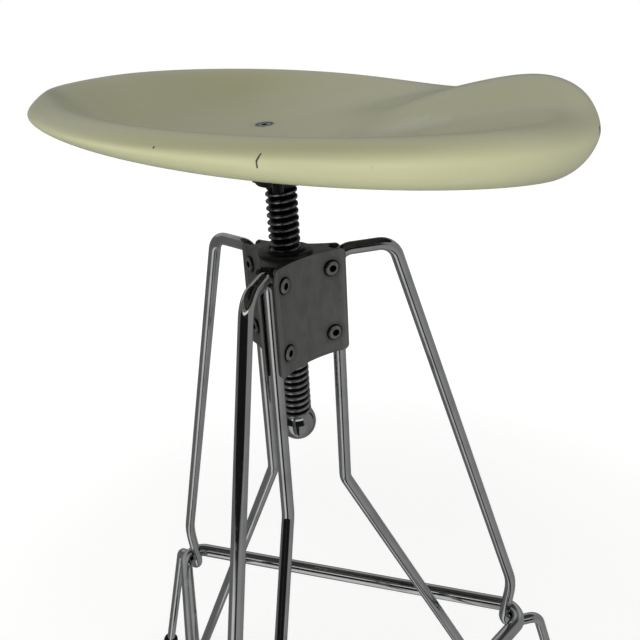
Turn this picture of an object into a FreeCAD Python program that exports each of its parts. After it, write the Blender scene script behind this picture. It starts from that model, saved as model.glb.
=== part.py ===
import FreeCAD, Part
import math
import os

# Tractor seat stool, in millimetres, +Z up.
# The origin is on the floor, on the axis of the lift screw. The front wire leg lies towards -Y.

# Rod stock
rod_d = 9.525
ring_rod_d = 12.7

# Heights above the floor
arm_height = 590.0
brace_bend_drop = 193.0
knee_drop = 348.4
ring_drop = 385.5

# Distances of the wire legs from the lift axis
hub_rod_reach = 35.5
arm_reach = 79.8
knee_reach = 191.4
ring_corner_reach = 211.5
foot_bend_out = 4.3
foot_slope = 0.309
feet_apart = 52.5965

# Bend radii on the rod's centreline
hub_bend_r = 12.0
arm_bend_r = 15.0
knee_bend_r = 45.0
foot_bend_r = 12.0
brace_bend_r = 16.0
ring_bend_r = 15.0

# Sideways wander of a wire leg out of its own plane
arm_side = 2.6
knee_side = 1.7
foot_side = 7.0
brace_side = 9.0

# Clearances
rod_gap = 0.1
hook_gap = 0.35
bore_gap = 0.05
seat_gap = 0.2

# Hub
plate_t = 2.5
plate_h = 78.8
plate_above_arm = 3.4
plate_w = 65.2
plate_bow_r = 80.0
plate_corner_r = 4.0
mitre_clear = 0.2375
screw_rod_gap = 2.0814
screw_rise = 16.1
screw_drop = 13.3
core_corner_reach = 33.0
core_inset = 2.5
core_tap_depth = 5.4
nut_d = 29.0
nut_flange_d = 38.0
nut_flange_t = 2.0
nut_nose_d = 29.0
nut_nose_h = 1.5
nut_edge = 0.7

# Screws, and the directions of the seat's ones from the front of the seat
plate_screw_d = 4.2
plate_screw_l = 7.5
plate_screw_head_d = 12.7
plate_screw_head_h = 3.3
plate_screw_hex = 4.0
seat_screw_d = 6.0
seat_screw_l = 16.0
seat_screw_head_d = 12.9
seat_screw_hex = 4.0
seat_screw_reach = 79.0
seat_screw_azimuths = [94.0, -94.0]

# Lift screw and ball
lift_d = 22.0
lift_lead = 5.0
lift_spigot_d = 15.0
lift_spigot_l = 14.0
ball_d = 28.0
ball_drop = 133.0
ball_spigot_d = 12.0
ball_spigot_l = 16.0
ball_flat_d = 20.0

# Seat mount: a bar across the seat, bent to its bowl, on a round boss
mount_l = 196.0
mount_w = 38.0
mount_t = 5.0
boss_d = 34.0
boss_h = 16.0
boss_edge = 1.0

# Seat shell. The lists are terms of a wave round the seat: a mean, then one, two, three and four
# swings in a full turn from the front.
seat_t = 4.0
dish_above_arm = 77.5
seat_turn_deg = 22.8
seat_flat_r = 12.0
seat_pan_r = 26.0
rim_reach = [189.3, 26.4, -24.0, 5.3, 6.7]
rim_rise = [35.1, -14.2, -2.4]
rim_drop = [23.0, 9.1, 5.2, -1.8]
rim_roll = [24.0, 13.1, -1.0]
rim_tuck = [17.2, -6.6, 6.7]
bowl_power = [2.75, -1.7]
pommel_h = 17.6
pommel_w = 47.4
pommel_run = 82.0
pommel_start = -10.0
pommel_blend = 75.0
net_turns = 36

# Rubber feet
foot_d = 17.0
foot_pad_d = 21.0
foot_h = 25.0
rod_end_rise = 6.0
foot_lip = 2.0
foot_edge = 1.2

corners = {"front": -90.0, "right": 30.0, "left": 150.0}
plate_azimuths = {"right_front": -30.0, "rear": 90.0, "left_front": 210.0}
rod_r = rod_d / 2
ring_rod_r = ring_rod_d / 2
upward = FreeCAD.Vector(0, 0, 1)


def at(azimuth, reach, side, z):
    """A point at a reach from the lift axis, stepped sideways, at a height."""
    a = math.radians(azimuth)
    x = reach * math.cos(a) - side * math.sin(a)
    y = reach * math.sin(a) + side * math.cos(a)
    return FreeCAD.Vector(x, y, z)


def bent_path(points, radii):
    """Straight runs between the points, joined by tangent arcs of the given radii."""
    edges = []
    start = points[0]
    for before, corner, after, radius in zip(points, points[1:], points[2:], radii):
        back = (before - corner).normalize()
        on = (after - corner).normalize()
        half = back.getAngle(on) / 2
        run = radius / math.tan(half)
        middle = (back + on).normalize() * (radius / math.sin(half) - radius)
        first = corner + back * run
        last = corner + on * run
        edges.append(Part.LineSegment(start, first).toShape())
        edges.append(Part.Arc(first, corner + middle, last).toShape())
        start = last
    edges.append(Part.LineSegment(start, points[-1]).toShape())
    return Part.Wire(edges)


def round_rod(path, diameter):
    """A round bar swept along a path of lines and arcs."""
    first = path.Edges[0]
    start = first.valueAt(first.FirstParameter)
    heading = first.tangentAt(first.FirstParameter)
    section = Part.Wire([Part.Circle(start, heading, diameter / 2).toShape()])
    return path.makePipeShell([section], True, False)


def turned(outline):
    """A full revolve about Z of an outline given as radius and height pairs."""
    points = [FreeCAD.Vector(r, 0, z) for r, z in outline]
    face = Part.Face(Part.makePolygon(points + [points[0]]))
    return face.revolve(FreeCAD.Vector(0, 0, 0), FreeCAD.Vector(0, 0, 1), 360)


def placed(shape, base, direction):
    """A shape made along +Z, stood on a base point along a direction."""
    out = shape.copy()
    out.Placement = FreeCAD.Placement(base, FreeCAD.Rotation(FreeCAD.Vector(0, 0, 1), direction))
    return out


def hex_socket(size, top, depth):
    """The space of a hexagon socket across its flats, sunk from a height along -Z."""
    corner = size / math.sqrt(3)
    rim = [FreeCAD.Vector(corner * math.cos(k * math.pi / 3), corner * math.sin(k * math.pi / 3), top)
           for k in range(7)]
    return Part.Face(Part.makePolygon(rim)).extrude(upward * -depth)


def button_screw():
    """A button-head screw along +Z, its head's seat at the origin and its tip below."""
    head_r = plate_screw_head_d / 2
    top = plate_screw_head_h
    dome_r = (head_r ** 2 + top ** 2) / (2 * top)
    dome = Part.makeSphere(dome_r, FreeCAD.Vector(0, 0, top - dome_r))
    head = Part.makeCylinder(head_r, top).common(dome)
    shank = Part.makeCylinder(plate_screw_d / 2, plate_screw_l, upward * -plate_screw_l)
    return head.cut(hex_socket(plate_screw_hex, top, 0.65 * top)).fuse(shank)


def sunk_screw():
    """A countersunk screw along +Z, the top of its head at the origin."""
    head_r = seat_screw_head_d / 2
    shank_r = seat_screw_d / 2
    body = turned([
        (0, 0),
        (head_r, 0),
        (shank_r, shank_r - head_r),
        (shank_r, -seat_screw_l),
        (0, -seat_screw_l),
    ])
    return body.cut(hex_socket(seat_screw_hex, 0, seat_screw_hex / 2))


# Wire legs: foot, leg, arm and brace in one bent rod
ring_z = arm_height - ring_drop
hook_r = ring_rod_r + hook_gap + rod_r
ring_apex_reach = ring_corner_reach - ring_bend_r
under_ring_z = ring_z - hook_r
knee_z = arm_height - knee_drop
brace_bend_z = arm_height - brace_bend_drop
foot_bend_reach = ring_corner_reach + rod_r + foot_bend_out

# Below the knee the wire leans in, tangent to its hook round the ring's corner
knee_to_ring = math.hypot(ring_apex_reach - knee_reach, knee_z - ring_z)
hook_lean = math.asin(hook_r / knee_to_ring) - math.atan2(ring_apex_reach - knee_reach, knee_z - ring_z)
hook_corner_reach = knee_reach - (knee_z - under_ring_z) * math.tan(hook_lean)


def foot_reach(z):
    return foot_bend_reach + foot_slope * (under_ring_z - z)


brace_end_reach = foot_reach(rod_end_rise) - feet_apart
brace_slope = (brace_end_reach - hub_rod_reach) / (brace_bend_z - rod_end_rise)


def brace_reach(z):
    return hub_rod_reach + brace_slope * (brace_bend_z - z)


def wire_leg(azimuth):
    points = [
        at(azimuth, foot_reach(rod_end_rise), foot_side, rod_end_rise),
        at(azimuth, foot_bend_reach, -0.5, under_ring_z),
        at(azimuth, hook_corner_reach, 0.5, under_ring_z),
        at(azimuth, knee_reach, knee_side, knee_z),
        at(azimuth, arm_reach, arm_side, arm_height),
        at(azimuth, hub_rod_reach, 0, arm_height),
        at(azimuth, hub_rod_reach, 0, brace_bend_z),
        at(azimuth, brace_reach(rod_end_rise), brace_side, rod_end_rise),
    ]
    radii = [foot_bend_r, hook_r, knee_bend_r, arm_bend_r, hub_bend_r, brace_bend_r]
    return round_rod(bent_path(points, radii), rod_d), points


def foot_ring():
    """Triangle of round rod with bent corners, closed at the middle of one side."""
    tips = [at(a, ring_corner_reach, 0, ring_z) for a in corners.values()]
    middle = (tips[0] + tips[2]) / 2
    path = bent_path([middle] + tips + [middle], [ring_bend_r] * 3)
    return round_rod(path, ring_rod_d)


def rubber_foot(end, along):
    """A tapered cap on a rod end, cut flat where it meets the floor."""
    tilt = along.getAngle(upward)
    reach_down = end.z / math.cos(tilt) + foot_pad_d / 2 * math.tan(tilt)
    reach_up = (foot_h - end.z) / math.cos(tilt)
    cap = turned([
        (0, -reach_down),
        (foot_pad_d / 2, -reach_down),
        (foot_pad_d / 2, foot_lip),
        (foot_pad_d / 2 - foot_edge, foot_lip + foot_edge),
        (foot_d / 2, reach_up - foot_edge),
        (foot_d / 2 - foot_edge, reach_up),
        (rod_r + bore_gap, reach_up),
        (rod_r + bore_gap, -bore_gap),
        (0, -bore_gap),
    ])
    cap = placed(cap, end, along)
    width = 4 * foot_pad_d
    corner = FreeCAD.Vector(end.x - width / 2, end.y - width / 2, -width)
    return cap.cut(Part.makeBox(width, width, width, corner))


# Hub: three plates bowed in towards the lift screw, and a core that holds the rods in its corners
plate_top_z = arm_height + plate_above_arm
plate_bottom_z = plate_top_z - plate_h
plate_back_r = plate_bow_r + plate_t
rod_ahead = hub_rod_reach * math.cos(math.radians(60))
rod_aside = hub_rod_reach * math.sin(math.radians(60))
screw_offset = rod_aside - rod_r - plate_screw_d / 2 - screw_rod_gap
mitre_gap = rod_r + mitre_clear
bow_reach = rod_ahead + math.sqrt((plate_back_r + rod_r + rod_gap) ** 2 - rod_aside ** 2)


def bow(azimuth, radius):
    """A cylinder round the upright line about which a plate is bowed."""
    return Part.makeCylinder(radius, plate_h, at(azimuth, bow_reach, 0, plate_bottom_z))


def plate_screw_axes(azimuth):
    """Where each screw meets its plate's outer face, and the face's normal there."""
    lean = math.asin(screw_offset / plate_bow_r)
    axes = []
    for turn in (-1, 1):
        normal = at(azimuth, math.cos(lean), -turn * math.sin(lean), 0)
        for z in (plate_bottom_z + screw_rise, plate_top_z - screw_drop):
            axes.append((at(azimuth, bow_reach, 0, z) - normal * plate_bow_r, normal))
    return axes


def hub_plate(azimuth):
    sheet = bow(azimuth, plate_back_r).cut(bow(azimuth, plate_bow_r))
    blank = Part.makeBox(hub_rod_reach, plate_w, plate_h, FreeCAD.Vector(0, -plate_w / 2, 0))
    along_normal = [e for e in blank.Edges if abs(e.tangentAt(e.FirstParameter).x) > 0.99]
    blank = blank.makeFillet(plate_corner_r, along_normal)
    blank.rotate(FreeCAD.Vector(0, 0, 0), upward, azimuth)
    blank.translate(upward * plate_bottom_z)
    plate = sheet.common(blank)
    for corner in corners.values():
        slot = Part.makeBox(plate_w, 2 * mitre_gap, plate_h, FreeCAD.Vector(0, -mitre_gap, 0))
        slot.rotate(FreeCAD.Vector(0, 0, 0), upward, corner)
        slot.translate(upward * plate_bottom_z)
        plate = plate.cut(slot)
    hole_r = plate_screw_d / 2 + rod_gap
    for place, normal in plate_screw_axes(azimuth):
        plate = plate.cut(Part.makeCylinder(hole_r, 2 * plate_t, place + normal * plate_t / 2, -normal))
    return plate


def hub_core():
    """A block hollowed for each plate, with a groove at each corner for its rod."""
    height = plate_h - core_inset
    foot = upward * (plate_bottom_z + core_inset)
    core = Part.makeCylinder(core_corner_reach, height, foot)
    core = core.cut(Part.makeCylinder(nut_d / 2 + bore_gap, height, foot))
    for azimuth in corners.values():
        base = at(azimuth, hub_rod_reach, 0, plate_bottom_z)
        core = core.cut(Part.makeCylinder(rod_r + rod_gap, 2 * plate_h, base))
    for azimuth in plate_azimuths.values():
        core = core.cut(bow(azimuth, plate_back_r + bore_gap))
        for place, normal in plate_screw_axes(azimuth):
            tap = Part.makeCylinder(plate_screw_d / 2 + bore_gap, plate_t + core_tap_depth, place, -normal)
            core = core.cut(tap)
    return core


def plate_screws():
    """Each screw's head stands on the bowed face with its rim."""
    stand = plate_bow_r - math.sqrt(plate_bow_r ** 2 - (plate_screw_head_d / 2) ** 2)
    screws = []
    for azimuth in plate_azimuths.values():
        for place, normal in plate_screw_axes(azimuth):
            screws.append(placed(button_screw(), place + normal * (stand + bore_gap), normal))
    return Part.makeCompound(screws)


def lift_nut():
    """Flanged threaded bush through the core, with a coned nose round the screw."""
    bore = lift_d / 2 + bore_gap
    flange_z = plate_top_z + nut_flange_t
    return turned([
        (bore, plate_bottom_z),
        (nut_d / 2, plate_bottom_z),
        (nut_d / 2, plate_top_z),
        (nut_flange_d / 2, plate_top_z),
        (nut_flange_d / 2, flange_z - nut_edge),
        (nut_flange_d / 2 - nut_edge, flange_z),
        (nut_nose_d / 2 + nut_edge, flange_z + nut_edge / 2),
        (nut_nose_d / 2 - 2 * nut_edge, flange_z + nut_nose_h),
        (bore, flange_z + nut_nose_h),
    ])


# Lift screw, ball and seat mount
dish_z = arm_height + dish_above_arm
mount_top_z = dish_z - seat_t
boss_bottom_z = mount_top_z - seat_gap - mount_t - boss_h
ball_z = arm_height - ball_drop
ball_top_z = ball_z + math.sqrt((ball_d / 2) ** 2 - (ball_flat_d / 2) ** 2)
screw_bottom_z = ball_top_z + seat_gap


def lift_screw():
    length = boss_bottom_z - screw_bottom_z
    bar = Part.makeCylinder(lift_d / 2, length, FreeCAD.Vector(0, 0, screw_bottom_z))
    bar = bar.makeChamfer(1.0, [bar.Edges[0], bar.Edges[2]])
    top = Part.makeCylinder(lift_spigot_d / 2, lift_spigot_l, FreeCAD.Vector(0, 0, boss_bottom_z))
    tail_z = screw_bottom_z - ball_spigot_l
    tail = Part.makeCylinder(ball_spigot_d / 2, ball_spigot_l, FreeCAD.Vector(0, 0, tail_z))
    return bar.fuse([top, tail])


def ball_end():
    ball = Part.makeSphere(ball_d / 2, FreeCAD.Vector(0, 0, ball_z))
    above = Part.makeBox(ball_d, ball_d, ball_d, FreeCAD.Vector(-ball_d / 2, -ball_d / 2, ball_top_z))
    hole_z = screw_bottom_z - ball_spigot_l - seat_gap
    hole = Part.makeCylinder(ball_spigot_d / 2 + bore_gap, ball_d, FreeCAD.Vector(0, 0, hole_z))
    return ball.cut(above).cut(hole)


# Seat shell: a dished bowl with a rolled rim, two thigh channels and a pommel between them
def wave(terms, angle):
    return sum(term * math.cos(math.radians(k * angle)) for k, term in enumerate(terms))


def ease(x):
    """0 up to 0 and 1 from 1 on, with a smooth step between."""
    x = min(max(x, 0), 1)
    return x * x * (3 - 2 * x)


def pommel(angle, r):
    """Height added between the thighs, at a distance from the middle."""
    forward = r * math.cos(math.radians(angle))
    sideways = r * math.sin(math.radians(angle))
    rise = ease((r - seat_pan_r) / pommel_run) * ease((forward - pommel_start) / pommel_blend)
    return pommel_h * rise * math.exp(-(sideways / pommel_w) ** 2)


def seat_profile(angle):
    """Control points across the seat, from its flat middle over the rim to the skirt's edge."""
    reach = wave(rim_reach, angle)
    rise = wave(rim_rise, angle)
    drop = wave(rim_drop, angle)
    roll = wave(rim_roll, angle)
    tuck = wave(rim_tuck, angle)
    crest = reach - roll
    rows = [(seat_flat_r, 0), (seat_pan_r, 0)]
    for share in (0.3, 0.47, 0.64, 0.82, 1):
        rows.append((crest * share, rise * share ** wave(bowl_power, angle)))
    rows.append((reach - 0.45 * roll, rise - 0.04 * drop))
    rows.append((reach, rise - 0.28 * drop))
    rows.append((reach, rise - 0.55 * drop))
    rows.append((reach - 0.5 * tuck, rise - 0.9 * drop))
    rows.append((reach - tuck, rise - drop))
    return [(r, z + pommel(angle, r)) for r, z in rows]


def inset_profile(rows, distance):
    """The same rows moved square to their own line, to a skin below."""
    moved = []
    for k, (r, z) in enumerate(rows):
        r0, z0 = rows[max(k - 1, 0)]
        r1, z1 = rows[min(k + 1, len(rows) - 1)]
        length = math.hypot(r1 - r0, z1 - z0)
        moved.append((r + (z1 - z0) / length * distance, z - (r1 - r0) / length * distance))
    return moved


def seat_surface(distance):
    """One skin of the seat, a distance below its top skin, open at the flat middle."""
    step = 360.0 / net_turns
    spread = 3 / (2 + math.cos(math.radians(step)))
    poles = []
    for k in range(net_turns):
        rows = inset_profile(seat_profile(k * step), distance)
        poles.append([at(seat_turn_deg + k * step, r * spread, 0, dish_z + z) for r, z in rows])
    inner_knots = len(poles[0]) - 4
    across = [4] + [1] * inner_knots + [4]
    surface = Part.BSplineSurface()
    surface.buildFromPolesMultsKnots(
        poles, [1] * (net_turns + 1), across,
        [float(k) for k in range(net_turns + 1)], [float(k) for k in range(len(across))],
        True, False, 3, 3)
    return surface


def seat_skin(distance):
    """The skin's face, the disc that closes its middle, and its outer edge."""
    face = seat_surface(distance).toShape()
    middle, edge = sorted((e for e in face.Edges if e.isClosed()), key=lambda e: e.Length)
    return face, Part.Face(Part.Wire([middle])), edge


def seat_screw_axes():
    """Where each seat screw meets the bowl's top skin, and the skin's normal there."""
    skin = seat_surface(0)
    axes = []
    for turn in seat_screw_azimuths:
        low = at(seat_turn_deg + turn, seat_screw_reach, 0, dish_z - seat_t)
        line = Part.LineSegment(low, low + upward * 10 * seat_t)
        point = line.intersectCS(skin)[0][0]
        place = FreeCAD.Vector(point.X, point.Y, point.Z)
        normal = skin.normal(*skin.parameter(place))
        if normal.z < 0:
            normal = -normal
        axes.append((place, normal))
    return axes


def seat_shell():
    """The sheet between an upper and a lower skin, closed along the skirt's edge."""
    upper, upper_middle, upper_edge = seat_skin(0)
    lower, lower_middle, lower_edge = seat_skin(seat_t)
    edge = Part.makeRuledSurface(upper_edge, lower_edge)
    shell = Part.makeShell([upper, lower, edge, upper_middle, lower_middle])
    shell.sewShape()
    solid = Part.makeSolid(Part.Shell(shell.Faces))
    if solid.Volume < 0:
        solid.reverse()
    head_r = seat_screw_head_d / 2 + rod_gap
    hole_r = seat_screw_d / 2 + rod_gap
    sink = turned([
        (0, seat_t),
        (head_r, seat_t),
        (head_r, 0),
        (hole_r, hole_r - head_r),
        (hole_r, -3 * seat_t),
        (0, -3 * seat_t),
    ])
    for place, normal in seat_screw_axes():
        solid = solid.cut(placed(sink, place, normal))
    return solid


def seat_mount():
    """A bar between two skins of the bowl, on a boss that takes the end of the lift screw."""
    long_half = (mount_l - mount_w) / 2
    side = at(seat_turn_deg + 90, long_half, 0, 0)
    low_z = boss_bottom_z
    ends = [Part.makeCylinder(mount_w / 2, mount_l, upward * low_z + side * turn) for turn in (1, -1)]
    middle = Part.makeBox(mount_w, 2 * long_half, mount_l,
                          FreeCAD.Vector(-mount_w / 2, -long_half, low_z))
    middle.rotate(FreeCAD.Vector(0, 0, 0), upward, seat_turn_deg)
    bar = middle.fuse(ends)

    def above(distance):
        face, disc, edge = seat_skin(distance)
        return face.extrude(upward * mount_l).fuse(disc.extrude(upward * mount_l))

    bar = bar.cut(above(seat_t + seat_gap)).common(above(seat_t + seat_gap + mount_t))
    boss = turned([
        (lift_spigot_d / 2 + bore_gap, boss_bottom_z),
        (boss_d / 2 - boss_edge, boss_bottom_z),
        (boss_d / 2, boss_bottom_z + boss_edge),
        (boss_d / 2, boss_bottom_z + boss_h + mount_t / 2),
        (0, boss_bottom_z + boss_h + mount_t / 2),
        (0, boss_bottom_z + lift_spigot_l + seat_gap),
        (lift_spigot_d / 2 + bore_gap, boss_bottom_z + lift_spigot_l + seat_gap),
    ])
    body = bar.fuse(boss)
    for place, normal in seat_screw_axes():
        hole = Part.makeCylinder(seat_screw_d / 2 + bore_gap, seat_screw_l * 2, upward * -seat_screw_l)
        body = body.cut(placed(hole, place, normal))
    return body


def seat_screws():
    sink = upward * -rod_gap
    screws = [placed(sunk_screw(), place + sink, normal) for place, normal in seat_screw_axes()]
    return Part.makeCompound(screws)


nodes = {}
for name, azimuth in corners.items():
    leg, path_points = wire_leg(azimuth)
    nodes["wire_leg_" + name] = leg
    foot_end, foot_bend = path_points[0], path_points[1]
    brace_end, brace_bend = path_points[-1], path_points[-2]
    nodes["outer_foot_" + name] = rubber_foot(foot_end, (foot_bend - foot_end).normalize())
    nodes["inner_foot_" + name] = rubber_foot(brace_end, (brace_bend - brace_end).normalize())
for name, azimuth in plate_azimuths.items():
    nodes["hub_plate_" + name] = hub_plate(azimuth)
nodes["foot_ring"] = foot_ring()
nodes["hub_core"] = hub_core()
nodes["plate_screws"] = plate_screws()
nodes["lift_nut"] = lift_nut()
nodes["lift_screw"] = lift_screw()
nodes["ball_end"] = ball_end()
nodes["seat_mount"] = seat_mount()
nodes["seat_shell"] = seat_shell()
nodes["seat_screws"] = seat_screws()

os.makedirs("parts", exist_ok=True)
for name, shape in nodes.items():
    print(name, len(shape.Solids), shape.isValid(), round(shape.Volume, 1))
    shape.exportStep("parts/" + name + ".step")
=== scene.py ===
import math

import bpy
import numpy as np
from mathutils import Matrix, Vector


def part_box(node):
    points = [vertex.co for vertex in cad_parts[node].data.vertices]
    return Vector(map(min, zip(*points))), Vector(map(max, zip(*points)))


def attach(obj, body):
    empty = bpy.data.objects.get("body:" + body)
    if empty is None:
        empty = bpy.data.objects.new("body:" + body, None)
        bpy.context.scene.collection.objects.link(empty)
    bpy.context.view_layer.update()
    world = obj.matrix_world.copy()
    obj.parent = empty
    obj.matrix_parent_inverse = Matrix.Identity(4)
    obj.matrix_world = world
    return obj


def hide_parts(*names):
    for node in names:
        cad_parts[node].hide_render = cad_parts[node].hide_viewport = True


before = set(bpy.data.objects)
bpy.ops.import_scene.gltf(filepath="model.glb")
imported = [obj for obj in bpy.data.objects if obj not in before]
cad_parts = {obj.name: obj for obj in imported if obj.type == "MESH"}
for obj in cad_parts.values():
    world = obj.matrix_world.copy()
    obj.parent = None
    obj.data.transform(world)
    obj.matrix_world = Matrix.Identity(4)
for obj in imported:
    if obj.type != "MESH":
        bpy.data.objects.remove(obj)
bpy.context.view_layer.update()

# Tractor seat stool, in metres, +Z up. The front wire leg lies towards -Y. The forms of the
# seat and of a plate screw are written in millimetres.
MM = 0.001


def add_object(name, data):
    obj = bpy.data.objects.new(name, data)
    bpy.context.scene.collection.objects.link(obj)
    return obj


# Camera of the photograph, worked out from the edges of the rods
PHOTO_SIDE, FOCAL_LENGTH, MIDDLE_ROW = 640, 681.62, 274.6
CAMERA_YAW, CAMERA_PITCH, CAMERA_ROLL = (math.radians(a) for a in (-17.370, -20.435, -3.154))
CAMERA_PLACE = Vector((0.15678, -0.42366, 0.74310))
FILM_WIDTH = 36.0
NEAREST = 0.02


def photo_camera():
    level = math.cos(CAMERA_PITCH)
    forward = Vector((math.sin(CAMERA_YAW) * level, math.cos(CAMERA_YAW) * level,
                      math.sin(CAMERA_PITCH)))
    right = Vector((math.cos(CAMERA_YAW), -math.sin(CAMERA_YAW), 0))
    up = right.cross(forward)
    x = math.cos(CAMERA_ROLL) * right + math.sin(CAMERA_ROLL) * up
    y = -math.sin(CAMERA_ROLL) * right + math.cos(CAMERA_ROLL) * up
    data = bpy.data.cameras.new("photo_camera")
    data.sensor_width = FILM_WIDTH
    data.lens = FOCAL_LENGTH / PHOTO_SIDE * FILM_WIDTH
    data.shift_y = (MIDDLE_ROW - PHOTO_SIDE / 2) / PHOTO_SIDE
    data.clip_start = NEAREST
    camera = add_object("photo_camera", data)
    turn = Matrix((x, y, -forward)).transposed().to_4x4()
    camera.matrix_world = Matrix.Translation(CAMERA_PLACE) @ turn
    bpy.context.scene.camera = camera


photo_camera()


# Seat: its form in millimetres. The lists are terms of a wave round the seat: a mean, then
# one, two, three and four swings in a full turn from the front.
SEAT_TURN = math.radians(22.8)
DISH_Z = 667.5
SHEET = 4.0
FLAT_R, PAN_R = 12.0, 26.0
RIM_REACH = (188.86, 25.51, -24.0, 7.13, 7.52)
RIM_RISE = (34.9, -14.15, -2.16, 0.65)
RIM_DROP = (22.85, 11.47, 5.92, -0.81, 0.39)
RIM_ROLL = (23.4, 8.74, 0.78, 6.69, -0.8)
RIM_TUCK = (17.2, -6.6, 6.7)
BOWL_POWER = (2.87, -2.06, 0.21, 0.03)
# Room between the skirt and the bowl's wall, and the tuck over which it eases in
SKIRT_ROOM, ROOM_BLEND = 13.0, 6.0
POMMEL_H, POMMEL_W, POMMEL_RUN = 16.6, 50.1, 102.5
POMMEL_START, POMMEL_BLEND = -10.0, 81.5
# Rows of the sheet: shares of the way up the bowl, then shares of the roll, tuck and drop
BOWL_ROWS = (0.3, 0.47, 0.64, 0.82, 1)
RIM_ROWS = ((0.45, 0, 0.04), (0, 0, 0.28), (0, 0, 0.55), (0, 0.5, 0.9), (0, 1, 1))
ROWS = 2 + len(BOWL_ROWS) + len(RIM_ROWS)
SPLINE_END = ROWS - 3
# Steps along the spline, coarse over the bowl and fine over the rim
BOWL_END, BOWL_STEP, RIM_STEP = 5, 0.16, 0.09
TURNS = 240
LIP_REACH, LIP_SHARES = 0.3, (0.15, 0.5, 0.85)
# Seat screws, found on the bowl's part of a line of samples across the seat
SEAT_SCREW_REACH, SEAT_SCREW_TURNS = 79.0, (94.0, -94.0)
SAMPLES, BOWL_SAMPLES = 400, 300
SINK_R, HOLE_R, HOLE_DEPTH, HOLE_TURNS = 6.55, 3.1, 12, 48
SEAT_CREASE = math.radians(35)


def wave(terms, angle):
    return sum(term * math.cos(k * angle) for k, term in enumerate(terms))


def ease(x):
    x = min(max(x, 0.0), 1.0)
    return x * x * (3 - 2 * x)


def pommel(angle, r):
    """Height of the ridge between the thighs."""
    forward, sideways = r * math.cos(angle), r * math.sin(angle)
    rise = ease((r - PAN_R) / POMMEL_RUN) * ease((forward - POMMEL_START) / POMMEL_BLEND)
    return POMMEL_H * rise * math.exp(-(sideways / POMMEL_W) ** 2)


def skirt_tuck(angle, reach, rise, drop):
    """How far the skirt turns in under the rim, eased to stay clear of the bowl."""
    height = max(rise - drop, 0) / rise
    wall = (reach - wave(RIM_ROLL, angle)) * height ** (1 / wave(BOWL_POWER, angle))
    most, tuck = reach - wall - SKIRT_ROOM, wave(RIM_TUCK, angle)
    share = min(max(0.5 + (most - tuck) / (2 * ROOM_BLEND), 0), 1)
    return most + (tuck - most) * share - ROOM_BLEND * share * (1 - share)


def seat_rows(angle):
    """Control points across the seat, from its flat middle over the rim to the skirt's edge."""
    reach, rise, drop, roll = (wave(terms, angle)
                               for terms in (RIM_REACH, RIM_RISE, RIM_DROP, RIM_ROLL))
    tuck = skirt_tuck(angle, reach, rise, drop)
    crest, power = reach - roll, wave(BOWL_POWER, angle)
    rows = [(FLAT_R, 0), (PAN_R, 0)]
    rows += [(crest * share, rise * share ** power) for share in BOWL_ROWS]
    rows += [(reach - a * roll - b * tuck, rise - c * drop) for a, b, c in RIM_ROWS]
    return np.array([(r, z + pommel(angle, r)) for r, z in rows])


def lower_rows(rows):
    """The same rows, a sheet's thickness below."""
    step = np.vstack([rows[1:2] - rows[0:1], rows[2:] - rows[:-2], rows[-1:] - rows[-2:-1]])
    step /= np.linalg.norm(step, axis=1)[:, None]
    return rows + SHEET * np.stack([step[:, 1], -step[:, 0]], 1)


def spline_weights(places):
    """Weights of the rows in a clamped cubic spline, at places along it."""
    knots = np.concatenate([[0.0] * 3, np.arange(ROWS - 2), [float(SPLINE_END)] * 3])
    places = np.minimum(places, SPLINE_END - 1e-9)[:, None]
    weights = ((places >= knots[:-1]) & (places < knots[1:])).astype(float)
    for degree in (1, 2, 3):
        width = knots[degree:] - knots[:-degree]
        share = np.divide(places - knots[:-degree], width,
                          out=np.zeros((len(places), len(width))), where=width > 0)
        weights = share[:, :-1] * weights[:, :-1] + (1 - share[:, 1:]) * weights[:, 1:]
    return weights


def seat_point(angle, r, z):
    """A point of the seat, in metres, by its direction from the seat's front, reach and height."""
    turn = angle + SEAT_TURN
    return Vector((r * math.cos(turn), r * math.sin(turn), DISH_Z + z)) * MM


def seat_screw_places():
    """Where each seat screw meets the bowl's top skin, and the skin's normal there."""
    weights = spline_weights(np.linspace(0, SPLINE_END, SAMPLES))
    found = []
    for turn in SEAT_SCREW_TURNS:
        spots = []
        for sideways, outwards in ((0, 0), (0, 1), (1, 0)):
            angle, r = math.radians(turn + sideways), SEAT_SCREW_REACH + outwards
            line = (weights @ seat_rows(angle))[:BOWL_SAMPLES]
            spots.append(seat_point(angle, r, np.interp(r, line[:, 0], line[:, 1])))
        normal = (spots[1] - spots[0]).cross(spots[2] - spots[0]).normalized()
        found.append((spots[0], normal))
    return found


SEAT_SCREWS = seat_screw_places()

# Marks of wear in the enamel, as two ends, in metres, and a half width: a curved nick and a
# speck on the near rim, and a chip on the far tip
NICKS = (
    ((0.0698, -0.2084, 0.7013), (0.0688, -0.2079, 0.6992), 0.42 * MM),
    ((0.0688, -0.2079, 0.6992), (0.06865, -0.2075, 0.6968), 0.36 * MM),
    ((0.0304, -0.2085, 0.7040), (0.0305, -0.2085, 0.7039), 0.40 * MM),
    ((0.1972, -0.0050, 0.6775), (0.1977, 0.0030, 0.6715), 1.3 * MM),
)
# Two paler streaks in the thigh channel
PALE_STREAKS = (
    ((0.0448, 0.0053, 0.6736), (0.0985, -0.0107, 0.6844), 3.5 * MM),
    ((0.0640, -0.0120, 0.6765), (0.1120, -0.0200, 0.6860), 3.5 * MM),
)
# A mark is thin along x and z, and reaches deep along y
MARK_DEPTH = (1.0, 0.1, 1.0)

# Hub: plates bowed inwards, each with four screws
PLATE_TURNS = (-30, 90, 210)
PLATE_SPACING = math.radians(120)
PLATE_BOW_R, BOW_REACH = 80 * MM, 99.524 * MM
# Distance from a plate's middle line where the lighter strip of painted light on its bent end
# begins
PLATE_STRIP = 27.8 * MM
PLATE_SCREW_OFFSET, PLATE_SCREW_HEIGHTS = 21.8 * MM, (530.7 * MM, 580.1 * MM)
HEAD_LIFT = 0.27 * MM
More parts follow.
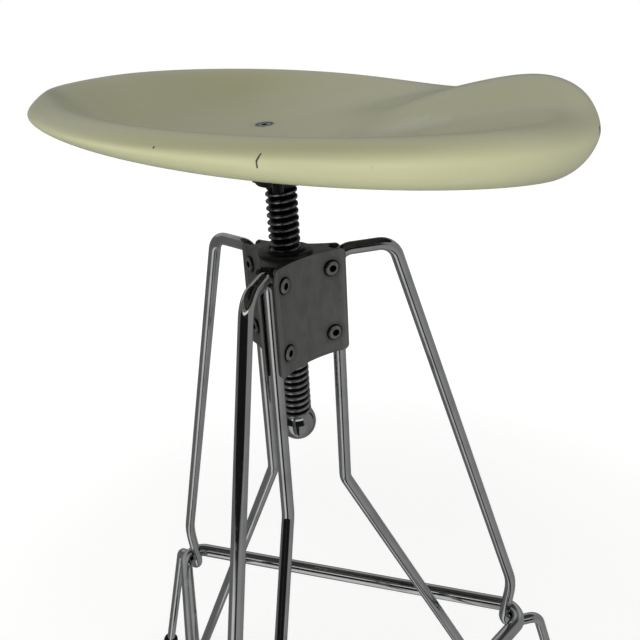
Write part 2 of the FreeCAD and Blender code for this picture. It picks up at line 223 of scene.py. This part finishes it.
# Plate screw in millimetres, from its shank over its low button head into its hexagon socket
SHANK_R, SHANK_L = 2.1, 7.2
HEAD_FORM = ((5.7, 0), (5.7, 0.5), (5.5, 0.75), (5.0, 1.05), (4.3, 1.35), (3.6, 1.5))
SOCKET_MOUTH, SOCKET_FLATS = (2.65, 1.55), 4.0
SOCKET_FORM = ((1, 1.3), (0.98, -0.6), (0.5, -0.7))
HEAD_TURNS = 60
HEAD_CREASE = math.radians(30)

# Lift screw: a rounded right-hand thread between a spigot in the seat's mount and a bore for
# the ball end
THREAD_R, THREAD_DEPTH, LEAD = 11 * MM, 2.1 * MM, 5 * MM
GROOVE_START, GROOVE_POWER = 0.30, 0.8
CROWN_DROP, CROWN_START = 0.08, 0.45
RUN_OUT = 0.8 * LEAD
ROWS_PER_TURN, THREAD_TURNS = 20, 72
TOP_SPIGOT_R, MOUNT_GAP = 7.5 * MM, 0.05 * MM
BALL_BORE_R, BALL_BORE_L = 6.05 * MM, 16.2 * MM
THREAD_CREASE = math.radians(60)


# Shader maths
class Value:
    """A socket's value. Its operators add Math nodes."""

    def __init__(self, shading, socket):
        self.shading = shading
        self.socket = socket

    def math(self, operation, *others):
        inputs = dict(enumerate((self, *others)))
        return self.shading.node("Math", {"operation": operation}, inputs)

    def __add__(self, other):
        return self.math("ADD", other)

    def __mul__(self, other):
        return self.math("MULTIPLY", other)

    def __sub__(self, other):
        return self.math("SUBTRACT", other)

    def __rsub__(self, other):
        return self * -1.0 + other

    def __truediv__(self, other):
        return self.math("DIVIDE", other)

    __radd__ = __add__
    __rmul__ = __mul__

    def rise(self, low, high):
        """0 below low and 1 above high, eased between."""
        return self.shading.node("MapRange", {"interpolation_type": "SMOOTHSTEP"},
                                 {"Value": self, "From Min": low, "From Max": high})

    def fall(self, low, high):
        """1 below low and 0 above high."""
        return 1.0 - self.rise(low, high)

    def band(self, low, high, soft):
        """1 between low and high, falling to 0 over the soft width outside them."""
        return self.rise(low - soft, low) * self.fall(high, high + soft)


class Shading:
    """The nodes of one tree."""

    def __init__(self, tree):
        self.tree = tree

    def put(self, socket, value):
        """Link a value to a socket or set it there; a colour's alpha is 1."""
        if isinstance(value, Value):
            self.tree.links.new(value.socket, socket)
        elif isinstance(value, tuple) and len(value) < len(socket.default_value):
            socket.default_value = (*value, 1.0)
        else:
            socket.default_value = value

    def node(self, kind, settings, inputs, out=0):
        """Any node, by its type, settings, the values or links of its sockets, and its output."""
        node = self.tree.nodes.new("ShaderNode" + kind)
        for key, value in settings.items():
            setattr(node, key, value)
        for key, value in inputs.items():
            self.put(node.inputs[key], value)
        return Value(self, node.outputs[out])

    def place(self):
        """The shaded point in the object's own coordinates, in metres."""
        return self.node("TexCoord", {}, {}, "Object")

    def axes(self, vector):
        return [self.node("SeparateXYZ", {}, {"Vector": vector}, axis) for axis in "XYZ"]

    def vector(self, operation, a, b, out="Vector"):
        return self.node("VectorMath", {"operation": operation}, {0: a, 1: b}, out)

    def distance(self, a, b):
        return self.vector("DISTANCE", a, b, "Value")

    def radius(self, x, y):
        return (x * x + y * y).math("SQRT")

    def mark_gap(self, start, end):
        """Distance of the shaded point from a straight mark."""
        start, end = (Vector(spot) * Vector(MARK_DEPTH) for spot in (start, end))
        along = end - start
        spot = self.vector("MULTIPLY", self.place(), MARK_DEPTH)
        spot = self.vector("SUBTRACT", spot, tuple(start))
        share = self.vector("DOT_PRODUCT", spot, tuple(along / along.length_squared), "Value")
        share = share.math("MINIMUM", 1.0).math("MAXIMUM", 0.0)
        foot = self.node("VectorMath", {"operation": "SCALE"}, {0: tuple(along), "Scale": share})
        return self.distance(spot, foot)

    def noise(self, scale, detail, roughness=0.5):
        """Noise with a scale by metres, the same in all directions or one for each axis."""
        spot = self.place()
        if isinstance(scale, tuple):
            spot = self.node("Mapping", {}, {"Vector": spot, "Scale": scale})
            scale = 1.0
        return self.node("TexNoise", {}, {"Vector": spot, "Scale": scale, "Detail": detail,
                                          "Roughness": roughness})

    def mix(self, factor, a, b):
        """Colour a towards colour b, by the Mix node's colour sockets."""
        return self.node("Mix", {"data_type": "RGBA"}, {0: factor, 6: a, 7: b}, 2)

    def blend(self, factor, a, b):
        """Number a towards number b."""
        return a + (b - a) * factor

    def relief(self, height, distance, strength, edge):
        """Normal with a fine relief, and sharp edges rounded over the width of edge."""
        rounded = self.node("Bevel", {"samples": 4}, {"Radius": edge})
        return self.node("Bump", {}, {"Strength": strength, "Distance": distance,
                                      "Height": height, "Normal": rounded})


class Finish(Shading):
    """One material, by its Principled BSDF."""

    def __init__(self, name, **constants):
        self.material = bpy.data.materials.new(name)
        self.material.use_nodes = True
        super().__init__(self.material.node_tree)
        self.set(**constants)

    def set(self, **inputs):
        shader = self.tree.nodes["Principled BSDF"]
        for key, value in inputs.items():
            self.put(shader.inputs[key.replace("_", " ")], value)
        return self.material


def grey(level, tint=(1.0, 1.0, 1.0)):
    return tuple(level * part for part in tint)


# Finishes, one for each material slot of the record
CREAM, PALE_CREAM, SPECK, GRIME_CREAM = (
    (0.575, 0.58, 0.345), (0.61, 0.61, 0.37), (0.25, 0.24, 0.15), (0.30, 0.29, 0.18))
STREAK_CREAM, BARE_NICK, SINK_SHADE = (0.74, 0.74, 0.55), (0.035, 0.035, 0.028), (0.05, 0.05, 0.04)
# Dark colours of the seat's underside: painted shade
UNDERSIDE_SHADE, MOTTLED_UNDERSIDE_SHADE = (0.045, 0.045, 0.038), (0.075, 0.073, 0.060)


def cream_enamel():
    """Enamel with its marks on top, a painted shade ring round each screw hole, and the underside
    painted dark as shade.
    """
    f = Finish("cream_enamel", Coat_Weight=0.35, Coat_Roughness=0.06)
    base = f.mix(f.noise(7.0, 4.0).rise(0.35, 0.7), CREAM, PALE_CREAM)
    specks = f.noise(420.0, 1.0).rise(0.74, 0.78) * f.noise(40.0, 2.0).rise(0.5, 0.6)
    base = f.mix(specks * 0.35, base, SPECK)
    for start, end, width in PALE_STREAKS:
        gap = f.mark_gap(start, end) + (f.noise(160.0, 2.0) - 0.5) * (4 * MM)
        base = f.mix(gap.fall(0.0, width) * 0.30, base, STREAK_CREAM)
    for start, end, width in NICKS:
        gap = f.mark_gap(start, end) + (f.noise(900.0, 2.0) - 0.5) * (width * 0.8)
        base = f.mix(gap.fall(width * 0.6, width) * 0.95, base, BARE_NICK)
    for spot, _ in SEAT_SCREWS:
        gap = f.distance(f.place(), tuple(spot))
        base = f.mix(gap.fall(7.4 * MM, 16 * MM) * 0.22, base, GRIME_CREAM)
        base = f.mix(gap.fall(7.1 * MM, 7.8 * MM) * 0.9, base, SINK_SHADE)
    # Painted shade: the underside is coloured dark, standing in for the shade under the seat
    under = f.node("Attribute", {"attribute_name": "underside"}, {}, "Fac")
    painted_underside_shade = f.mix(f.noise(25.0, 4.0).rise(0.35, 0.7), UNDERSIDE_SHADE, MOTTLED_UNDERSIDE_SHADE)
    return f.set(Base_Color=f.mix(under.rise(0.3, 0.7), base, painted_underside_shade),
                 Roughness=0.26 + 0.10 * f.noise(30.0, 4.0) + 0.25 * under,
                 Normal=f.relief(f.noise(260.0, 2.0), 0.03 * MM, 0.25, 1.2 * MM))


def chrome(name, level, polish, wear):
    """Plated steel, a little dulled in patches and pitted."""
    f = Finish(name, Metallic=1.0)
    tint = (0.98, 1.0, 0.99)
    stain = f.noise(45.0, 4.0).rise(0.42, 0.78)
    return f.set(Base_Color=f.mix(stain, grey(level, tint), grey(level * 0.82, tint)),
                 Roughness=polish + wear * f.noise(160.0, 5.0).rise(0.4, 0.8),
                 Normal=f.relief(f.noise(900.0, 3.0, 0.6), 0.01 * MM, 0.25, 0.3 * MM))


def hub_places(f):
    """Distances of the shaded point from its plate's middle line and nearest plate screw."""
    x, y, z = f.axes(f.place())
    # The direction is folded to lie within half a plate's share on each side of its middle
    fold = PLATE_SPACING * 3.5 - math.radians(PLATE_TURNS[0])
    turn = ((y.math("ARCTAN2", x) + fold) / PLATE_SPACING).math("FRACT")
    turn = turn * PLATE_SPACING - PLATE_SPACING / 2
    aside = (f.radius(x, y) * turn.math("SINE")).math("ABSOLUTE")
    low, high = (f.radius(aside - PLATE_SCREW_OFFSET, z - height)
                 for height in PLATE_SCREW_HEIGHTS)
    return aside, low.math("MINIMUM", high)


def satin_plate():
    """Ground steel: upright streaks, a lighter strip of painted light along each bent end, a
    darker halo and a painted black shadow ring round the heads.
    """
    f = Finish("satin_plate", Metallic=1.0)
    aside, gap = hub_places(f)
    streak = f.noise((700.0, 700.0, 60.0), 4.0, 0.6)
    mottle = f.noise((160.0, 160.0, 110.0), 3.0)
    strip = f.noise((900.0, 900.0, 9.0), 2.0).rise(0.35, 0.65)
    base = f.mix(streak.rise(0.25, 0.75), (0.27, 0.27, 0.255), (0.335, 0.335, 0.315))
    base = f.mix(mottle.rise(0.35, 0.75) * 0.5, base, (0.235, 0.235, 0.222))
    base = f.mix(f.noise(28.0, 2.0).rise(0.45, 0.75) * 0.3, base, (0.36, 0.36, 0.335))
    # Painted light: each plate's bent end is coloured lighter, in upright streaks, as light falls
    # on the bend
    painted_edge_light = aside.rise(PLATE_STRIP, PLATE_STRIP + 0.8 * MM)
    base = f.mix(painted_edge_light * (0.25 + 0.5 * strip), base, (0.44, 0.44, 0.415))
    # A darker halo round each head, then a painted black shadow ring where the head meets the
    # plate
    base = f.mix(gap.fall(6.6 * MM, 10 * MM) * 0.35, base, (0.12, 0.12, 0.11))
    base = f.mix(gap.fall(6.0 * MM, 6.4 * MM), base, grey(0.012))
    return f.set(Base_Color=base, Roughness=0.36 + 0.14 * streak + 0.12 * mottle,
                 Normal=f.relief(streak, 0.04 * MM, 0.3, 0.6 * MM))


def screw_steel():
    """Button heads of darkened steel with a rubbed crown, painted black shade in the socket and
    painted shade on the dark outer edge.
    """
    f = Finish("screw_steel", Metallic=1.0)
    gap = hub_places(f)[1]
    for spot, _ in SEAT_SCREWS:
        gap = gap.math("MINIMUM", f.distance(f.place(), tuple(spot)))
    rub = f.noise(300.0, 3.0).rise(0.35, 0.75)
    base = f.mix(rub, (0.28, 0.28, 0.27), (0.44, 0.44, 0.42))
    # Painted shade: the head's outer edge is coloured dark where it turns down to the plate
    base = f.mix(gap.rise(4.6 * MM, 5.5 * MM), base, (0.05, 0.05, 0.048))
    # Painted shade: the hexagon socket is coloured black
    base = f.mix(gap.fall(2.3 * MM, 2.9 * MM), base, grey(0.008))
    return f.set(Base_Color=base, Roughness=0.24 + 0.2 * rub,
                 Normal=f.relief(rub, 0.03 * MM, 0.4, 0.4 * MM))


def thread_steel():
    """Oiled thread: painted black shade in its grooves, crests lighter as rubbed steel and as a
    painted glint, and the top painted darker as a darker reflection.
    """
    f = Finish("screw_thread_steel", Metallic=1.0)
    x, y, z = f.axes(f.place())
    # Painted shade: the grooves are coloured near black; the crests lighter, as rubbed steel and
    # as a painted glint
    crest = f.radius(x, y).rise(9.8 * MM, 10.7 * MM)
    # Painted shade: towards the top the thread is coloured darker, for the darker reflection there
    rub, upper = f.noise(220.0, 4.0), z.rise(0.50, 0.58)
    bright = f.mix(upper, (0.52, 0.53, 0.52), (0.30, 0.31, 0.31))
    oil_and_top_shade = f.mix(upper, (0.34, 0.345, 0.34), grey(0.10))
    bright = f.mix(rub.rise(0.40, 0.70), bright, oil_and_top_shade)
    return f.set(Base_Color=f.mix(crest, grey(0.022), bright), Roughness=0.16 + 0.3 * rub,
                 Normal=f.relief(f.noise(700.0, 3.0), 0.04 * MM, 0.5, 0.3 * MM))


def black_steel():
    """Oiled black steel, dark with greasy patches."""
    f = Finish("black_steel", Metallic=0.6)
    oil = f.noise(70.0, 4.0)
    base = f.mix(oil.rise(0.35, 0.7), (0.010, 0.010, 0.011), (0.035, 0.034, 0.032))
    return f.set(Base_Color=base, Roughness=0.22 + 0.3 * oil,
                 Normal=f.relief(f.noise(500.0, 3.0), 0.03 * MM, 0.4, 0.4 * MM))


def black_rubber():
    """Moulded rubber with a grey bloom."""
    f = Finish("black_rubber")
    bloom = f.noise(120.0, 4.0)
    base = f.mix(bloom.rise(0.4, 0.8), (0.010, 0.010, 0.011), (0.030, 0.030, 0.031))
    return f.set(Base_Color=base, Roughness=0.5 + 0.25 * bloom,
                 Normal=f.relief(f.noise(700.0, 3.0), 0.06 * MM, 0.5, 0.8 * MM))


materials = {
    "cream_enamel": cream_enamel(),
    "chrome_wire": chrome("chrome_wire", 0.62, 0.055, 0.10),
    "satin_plate": satin_plate(),
    "screw_steel": screw_steel(),
    "black_steel": black_steel(),
    "screw_thread_steel": thread_steel(),
    "polished_steel": chrome("polished_steel", 0.50, 0.05, 0.08),
    "black_rubber": black_rubber(),
}
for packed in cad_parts.values():
    for k, slot in enumerate(packed.data.materials):
        packed.data.materials[k] = materials[slot.name.split(".")[0]]


# Pieces made here
def add_mesh(name, points, faces, material):
    mesh = bpy.data.meshes.new(name)
    mesh.from_pydata([tuple(point) for point in points], [], faces)
    mesh.polygons.foreach_set("use_smooth", [True] * len(mesh.polygons))
    mesh.materials.append(materials[material])
    return add_object(name, mesh)


def ring_faces(rings, around):
    """Quads between rings of points that follow each other."""
    faces = []
    for i in range(rings - 1):
        for j in range(around):
            k = (j + 1) % around
            faces.append((i * around + j, i * around + k,
                          (i + 1) * around + k, (i + 1) * around + j))
    return faces


def turned(profile, around):
    """Points and faces of a turned form, from radii and heights.

    A radius is one number, or a row with one for each direction.
    """
    turn = np.linspace(0, 2 * math.pi, around, endpoint=False)
    points = []
    for r, z in profile:
        r = np.broadcast_to(r, turn.shape)
        points += np.stack([r * np.cos(turn), r * np.sin(turn), np.full(around, z)], 1).tolist()
    faces = ring_faces(len(profile), around)
    faces += [tuple(range(around - 1, -1, -1)), tuple(range(len(points) - around, len(points)))]
    return points, faces


def upright_to(normal, spot):
    """Matrix that sets a turned form on a spot, with its axis along a normal."""
    return Matrix.Translation(spot) @ normal.to_track_quat("Z", "Y").to_matrix().to_4x4()


def countersink(spot, normal):
    """Cutter for a seat screw's hole."""
    profile = [(HOLE_R, -HOLE_DEPTH), (HOLE_R, HOLE_R - SINK_R), (SINK_R, 0), (SINK_R, SHEET)]
    points, faces = turned([(r * MM, z * MM) for r, z in profile], HOLE_TURNS)
    cutter = add_mesh("countersink", points, faces, "cream_enamel")
    cutter.matrix_world = upright_to(normal, spot)
    return cutter


def cut_countersinks(seat):
    cutters = [countersink(spot, normal) for spot, normal in SEAT_SCREWS]
    for cutter in cutters:
        cut = seat.modifiers.new("countersink", "BOOLEAN")
        cut.operation = "DIFFERENCE"
        cut.solver = "EXACT"
        cut.object = cutter
    shape = seat.evaluated_get(bpy.context.evaluated_depsgraph_get())
    mesh = bpy.data.meshes.new_from_object(shape)
    seat.modifiers.clear()
    seat.data = mesh
    for cutter in cutters:
        bpy.data.objects.remove(cutter)


def seat_shell():
    """A sheet of even thickness between two skins, with a rounded edge along the skirt."""
    across = np.concatenate([np.arange(0, BOWL_END, BOWL_STEP),
                             np.arange(BOWL_END, SPLINE_END, RIM_STEP), [float(SPLINE_END)]])
    weights = spline_weights(across)
    angles = np.linspace(0, 2 * math.pi, TURNS, endpoint=False)
    lines = []
    for angle in angles:
        rows = seat_rows(angle)
        upper, lower = weights @ rows, weights @ lower_rows(rows)
        ahead = upper[-1] - upper[-2]
        ahead *= LIP_REACH * SHEET / np.linalg.norm(ahead)
        lip = [upper[-1] + (lower[-1] - upper[-1]) * share + ahead * (1 - (2 * share - 1) ** 2)
               for share in LIP_SHARES]
        lines.append(np.vstack([upper, lip, lower[::-1]]))
    rings = len(lines[0])
    points = [seat_point(angles[j], *lines[j][i]) for i in range(rings) for j in range(TURNS)]
    faces = ring_faces(rings, TURNS)
    for ring, height in ((0, 0), (rings - 1, -SHEET)):
        centre = len(points)
        points.append(seat_point(0, 0, height))
        for j in range(TURNS):
            pair = (ring * TURNS + j, ring * TURNS + (j + 1) % TURNS)
            faces.append((*(pair[::-1] if ring == 0 else pair), centre))
    seat = add_mesh("seat_shell_formed", points, faces, "cream_enamel")
    first_below = (len(across) + len(LIP_SHARES) - 1) * TURNS
    below = [float(first_below <= k < rings * TURNS or k == len(points) - 1)
             for k in range(len(points))]
    seat.data.attributes.new("underside", "FLOAT", "POINT").data.foreach_set("value", below)
    cut_countersinks(seat)
    seat.data.set_sharp_from_angle(angle=SEAT_CREASE)
    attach(seat, "seat")
    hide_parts("seat_shell")


def hub_face(azimuth, aside, height):
    """Place on a hub plate's bowed face, with its third axis along the face's normal."""
    lean = math.asin(aside / PLATE_BOW_R)
    normal = Vector((math.cos(azimuth - lean), math.sin(azimuth - lean), 0))
    middle = Vector((math.cos(azimuth), math.sin(azimuth), 0)) * BOW_REACH
    spot = middle - normal * (PLATE_BOW_R - HEAD_LIFT) + Vector((0, 0, height))
    return upright_to(normal, spot)


def hexagon(angle, flats):
    """Reach of a hexagon's edge in a direction."""
    return flats / 2 / math.cos((angle % math.radians(60)) - math.radians(30))


def plate_screws():
    socket = np.array([hexagon(angle, SOCKET_FLATS)
                       for angle in np.linspace(0, 2 * math.pi, HEAD_TURNS, endpoint=False)])
    profile = [(SHANK_R, -SHANK_L), (SHANK_R, 0), *HEAD_FORM, SOCKET_MOUTH]
    profile += [(socket * share, z) for share, z in SOCKET_FORM]
    one, shape = turned([(r * MM, z * MM) for r, z in profile], HEAD_TURNS)
    points, faces = [], []
    for azimuth in PLATE_TURNS:
        for aside in (-PLATE_SCREW_OFFSET, PLATE_SCREW_OFFSET):
            for height in PLATE_SCREW_HEIGHTS:
                place = hub_face(math.radians(azimuth), aside, height)
                faces += [tuple(k + len(points) for k in face) for face in shape]
                points += [place @ Vector(point) for point in one]
    screws = add_mesh("plate_screw_set", points, faces, "screw_steel")
    screws.data.set_sharp_from_angle(angle=HEAD_CREASE)
    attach(screws, "base")
    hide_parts("plate_screws")


def lift_thread():
    """The bar with its thread: each row of points lies deeper where the helix's groove passes."""
    bottom, spigot_top = (corner[2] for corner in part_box("lift_screw"))
    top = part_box("seat_mount")[0][2] - MOUNT_GAP
    turn = np.linspace(0, 2 * math.pi, THREAD_TURNS, endpoint=False)
    height = np.linspace(bottom, top, round((top - bottom) / LEAD * ROWS_PER_TURN) + 1)
    phase = (height[:, None] / LEAD - turn / (2 * math.pi)) % 1.0
    across = np.abs(phase - 0.5) * 2
    groove = np.clip((across - GROOVE_START) / (1 - GROOVE_START), 0, 1) ** GROOVE_POWER
    crown = CROWN_DROP * np.clip(across / CROWN_START, 0, 1) ** 2
    fade = np.clip(np.minimum(height - bottom, top - height) / RUN_OUT, 0, 1)[:, None]
    radius = THREAD_R - THREAD_DEPTH * (1 - (1 - np.maximum(groove, crown)) * fade)
    profile = [(BALL_BORE_R, bottom + BALL_BORE_L), (BALL_BORE_R, bottom)]
    profile += list(zip(radius, height))
    profile += [(TOP_SPIGOT_R, top), (TOP_SPIGOT_R, spigot_top)]
    screw = add_mesh("lift_screw_thread", *turned(profile, THREAD_TURNS), "screw_thread_steel")
    screw.data.set_sharp_from_angle(angle=THREAD_CREASE)
    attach(screw, "seat")
    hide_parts("lift_screw")


seat_shell()
plate_screws()
lift_thread()

# Stage: a plain floor, lamps and the room
FLOOR_HALF = 6.0
FLOOR_COLOUR = (0.50, 0.50, 0.49)
# The floor's own white to the camera, lower near the object, where its shadow falls
SHADOW_NEAR, SHADOW_FAR, NEAR_GLOW = 0.45, 1.4, 0.71


def white_floor():
    """White to the camera, with the object's shadow kept."""
    f = Finish("white_floor", Roughness=0.9, Base_Color=FLOOR_COLOUR, Specular_IOR_Level=0.0,
               Emission_Strength=1.0)
    far = f.distance(f.place(), (0, 0, 0)).rise(SHADOW_NEAR, SHADOW_FAR)
    glow = f.mix(far, grey(NEAR_GLOW), grey(1.0))
    seen = f.node("LightPath", {}, {}, "Is Camera Ray")
    return f.set(Emission_Color=f.mix(seen, grey(0.0), glow))


def floor():
    mesh = bpy.data.meshes.new("floor")
    corners = [(-1, -1), (1, -1), (1, 1), (-1, 1)]
    mesh.from_pydata([(x * FLOOR_HALF, y * FLOOR_HALF, 0) for x, y in corners], [], [(0, 1, 2, 3)])
    mesh.materials.append(white_floor())
    plane = add_object("floor", mesh)
    plane.visible_glossy = False


def lamp(name, place, target_height, size, power):
    """A soft area lamp that points at a height of the object's axis."""
    data = bpy.data.lights.new(name, "AREA")
    data.shape = "RECTANGLE"
    data.size, data.size_y = size
    data.energy = power
    light = add_object(name, data)
    light.location = place
    toward = Vector((0, 0, target_height)) - Vector(place)
    light.rotation_euler = toward.to_track_quat("-Z", "Y").to_euler()
    light.visible_glossy = False


# The room as metal sees it. Its patches are bounded by turns from the camera's side, in
# radians, positive to the right, and by heights, as the sine above the horizon.
TO_CAMERA, TO_THE_RIGHT = (0.2986, -0.9544, 0.0), (0.9544, 0.2986, 0.0)
ROOM_LEVEL, DIFFUSE_LEVEL, BACKDROP_LEVEL = 0.20, 0.12, 1.0


def studio_room():
    world = bpy.data.worlds.new("studio")
    bpy.context.scene.world = world
    world.use_nodes = True
    room = Shading(world.node_tree)
    heading = room.node("TexCoord", {}, {}, "Generated")
    toward, aside = (room.vector("DOT_PRODUCT", heading, side, "Value")
                     for side in (TO_CAMERA, TO_THE_RIGHT))
    turn = aside.math("ARCTAN2", toward)
    lift = room.axes(heading)[2]
    beyond = 1.0 - turn.band(-1.9, 1.9, 0.3)
    floor_near = lift.fall(-0.22, -0.13)
    dark_height, strip_height = lift.band(-0.15, 0.42, 0.06), lift.band(0.45, 0.55, 0.03)
    shine = ROOM_LEVEL
    for level, patch in (
        (0.27, turn.band(0.8, 2.2, 0.3)),  # right wall
        (0.15, turn.band(-2.2, -1.3, 0.3)),  # left wall
        (0.40, beyond * lift.rise(0.1, 0.35)),  # top of the wall beyond the stool
        (0.05, lift.rise(0.60, 0.80)),  # ceiling
        (0.012, turn.band(-1.30, 0.62, 0.16) * dark_height),  # dark wall behind the camera
        (0.72, turn.band(-0.85, -0.40, 0.15) * floor_near),  # bright floor, left of the camera
        (0.32, turn.band(0.20, 0.95, 0.15) * floor_near),  # floor, right of the camera
        (0.02, turn.band(-0.15, 0.10, 0.06) * floor_near),  # dark strip between them
        (1.00, turn.band(-0.70, 0.70, 0.10) * strip_height),  # strip lamp over the camera
    ):
        shine = room.blend(patch, shine, level)
    glossy, seen = (room.node("LightPath", {}, {}, out)
                    for out in ("Is Glossy Ray", "Is Camera Ray"))
    level = room.blend(seen, room.blend(glossy, DIFFUSE_LEVEL, shine), BACKDROP_LEVEL)
    background = world.node_tree.nodes["Background"]
    room.put(background.inputs["Color"], level)
    room.put(background.inputs["Strength"], 1.0)


floor()
# Lamps: place, height they point at, size and power
lamp("front", (0.5, -2.1, 1.15), 0.6, (1.6, 1.1), 14.0)
lamp("left", (-2.0, -0.9, 1.5), 0.6, (1.4, 1.2), 13.0)
lamp("right", (2.1, -0.4, 1.3), 0.6, (1.4, 1.2), 6.0)
lamp("overhead", (0.0, 0.1, 2.4), 0.5, (1.8, 1.8), 7.0)
lamp("low_left", (-1.2, -0.9, 0.15), 0.68, (1.2, 1.0), 17.0)
lamp("low_right", (1.3, -0.9, 0.15), 0.68, (1.2, 1.0), 17.0)
studio_room()
bpy.context.scene.view_settings.view_transform = "Standard"
